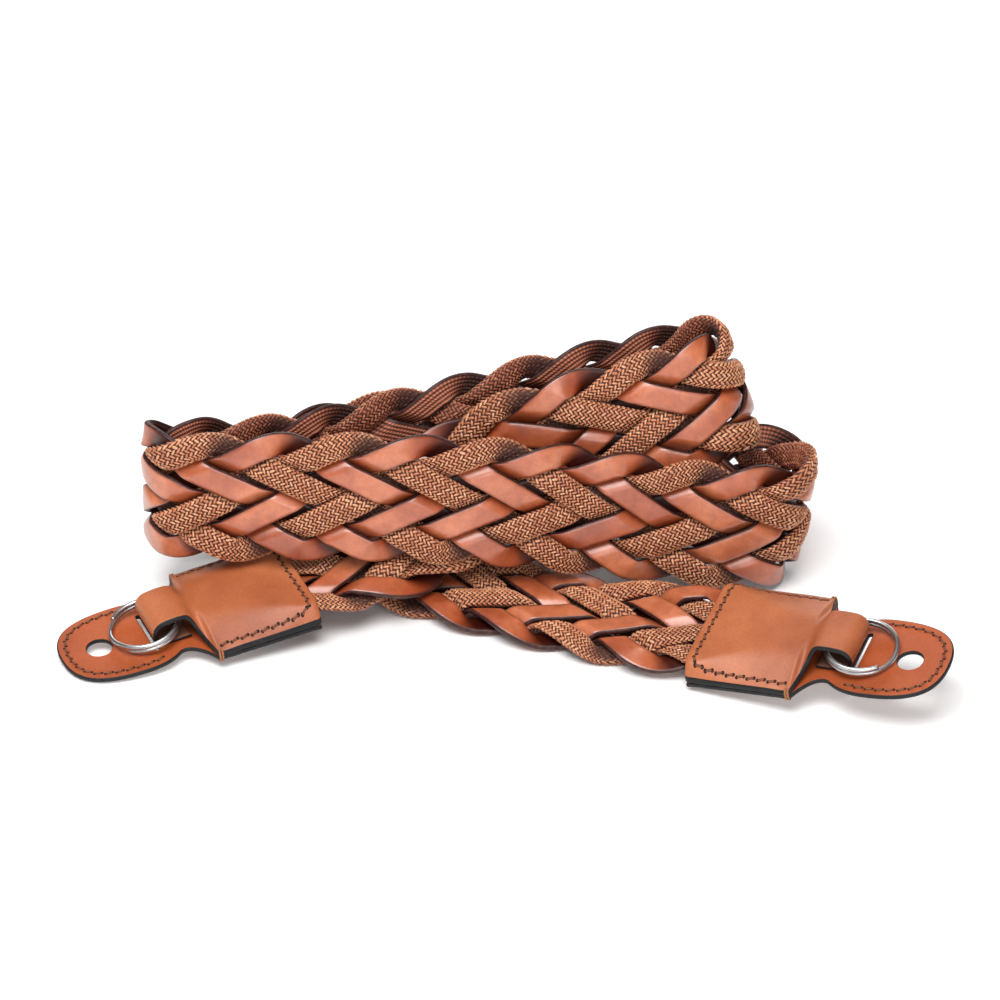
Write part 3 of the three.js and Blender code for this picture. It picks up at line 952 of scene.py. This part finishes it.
# Glow of the floor, which fades away under the coil as a painted shadow
def painted_coil_shadow(look):
    scaled = look.node("ShaderNodeVectorMath", operation="MULTIPLY")
    scaled.inputs[1].default_value = (1 / FLOOR.fade_x, 1 / FLOOR.fade_y, 0)
    look.link(look.position(), scaled.inputs[0])
    far = look.node("ShaderNodeVectorMath", operation="LENGTH")
    look.link(scaled.outputs["Vector"], far.inputs[0])
    return look.mapped(far.outputs["Value"], 0, FLOOR.glow, FLOOR.fade_from)


# Plain pale floor that glows, with a painted shadow under the coil
def floor():
    half = FLOOR.half
    mesh = bpy.data.meshes.new("floor")
    corners = [(-half, -half, 0), (half, -half, 0), (half, half, 0), (-half, half, 0)]
    mesh.from_pydata(corners, [], [(0, 1, 2, 3)])
    look = Look("floor_white", 0.9, specular=0.1)
    look.constant("Base Color", (0.95, 0.95, 0.95, 1))
    look.constant("Emission Color", (*WHITE, 1))
    look.link(painted_coil_shadow(look), look.shader.inputs["Emission Strength"])
    mesh.materials.append(look.material)
    piece = bpy.data.objects.new("floor", mesh)
    bpy.context.scene.collection.objects.link(piece)


def area_light(name, place_at, aim, size, power):
    data = bpy.data.lights.new(name, "AREA")
    data.shape = "RECTANGLE"
    data.size, data.size_y = size
    data.energy = power
    lamp = bpy.data.objects.new(name, data)
    lamp.location = place_at
    lamp.rotation_euler = (Vector(aim) - Vector(place_at)).to_track_quat("-Z", "Y").to_euler()
    bpy.context.scene.collection.objects.link(lamp)


# Soft studio light
def studio():
    world = bpy.data.worlds.new("studio")
    world.use_nodes = True
    background = world.node_tree.nodes["Background"]
    background.inputs["Color"].default_value = (*WHITE, 1)
    background.inputs["Strength"].default_value = 0.15
    bpy.context.scene.world = world
    bpy.context.scene.view_settings.view_transform = "Standard"
    area_light("key", (-0.15, -0.35, 0.85), (0, 0, 0.02), (0.75, 0.6), 9.5)
    area_light("front", (0.2, -0.9, 0.4), (0, 0, 0.03), (0.6, 0.35), 2.5)
    area_light("back", (0.1, 0.95, 0.5), (0, 0, 0.03), (1.0, 0.4), 4)


# Camera at the photograph's angle, aimed at the middle of its frame
def camera():
    elevation = math.radians(VIEW.elevation)
    target = Vector((SHIFT + VIEW.aim) * MM)
    data = bpy.data.cameras.new("camera")
    data.sensor_width = VIEW.sensor
    data.lens = VIEW.lens * VIEW.sensor
    data.clip_start, data.clip_end = 0.05, 50
    piece = bpy.data.objects.new("camera", data)
    piece.location = target + Vector((0, -math.cos(elevation), math.sin(elevation))) * VIEW.distance
    piece.rotation_euler = (math.pi / 2 - elevation, 0, 0)
    bpy.context.scene.collection.objects.link(piece)
    bpy.context.scene.camera = piece


# Strands of the braid, leather and cord by turns
def braid():
    strip = [strand_look(), edge_look("strand_edge", TONES.strand_edge, 0.42), lining_look()]
    cord = [float_look(), core_shade_look()]
    for number in range(0, BRAID.strands, 2):
        leather_strand(f"leather_strand_{number // 2 + 1}", number, strip)
    for number in range(1, BRAID.strands, 2):
        cord_strand(f"paracord_strand_{number // 2 + 1}", number, cord)


# Both ends: cover, guard with its flap, ring, stitches and tacks
def ends():
    paint = edge_look("end_edge", TONES.end_edge, 0.55)
    # Backs of the ends: plain leather with painted shade for the inside of the fold
    back = leather_look("end_back", TONES.end_back, 0.7)
    top = leather_look("cover_leather", TONES.cover, 0.46, coat=0.6)
    flap = leather_look("flap_leather", TONES.flap, 0.46)
    dark = thread_look("stitch_thread", TONES.stitch)
    tack = thread_look("tack_thread", TONES.tack)
    # Painted shade in the stitch holes
    hole = edge_look("stitch_hole", TONES.stitch_hole, 0.8)
    steel = steel_look()
    for name, s, outward in (("right", 0.0, -1), ("left", LENGTH, 1)):
        end = end_frame(s, outward)
        cover(name, end, [top, paint, back])
        guard(name, end, [flap, paint, back])
        split_ring(name, end, steel)
        stitches(name, end, dark, hole)
        bar_tacks(name, end, tack)


camera()
braid()
ends()
floor()
studio()
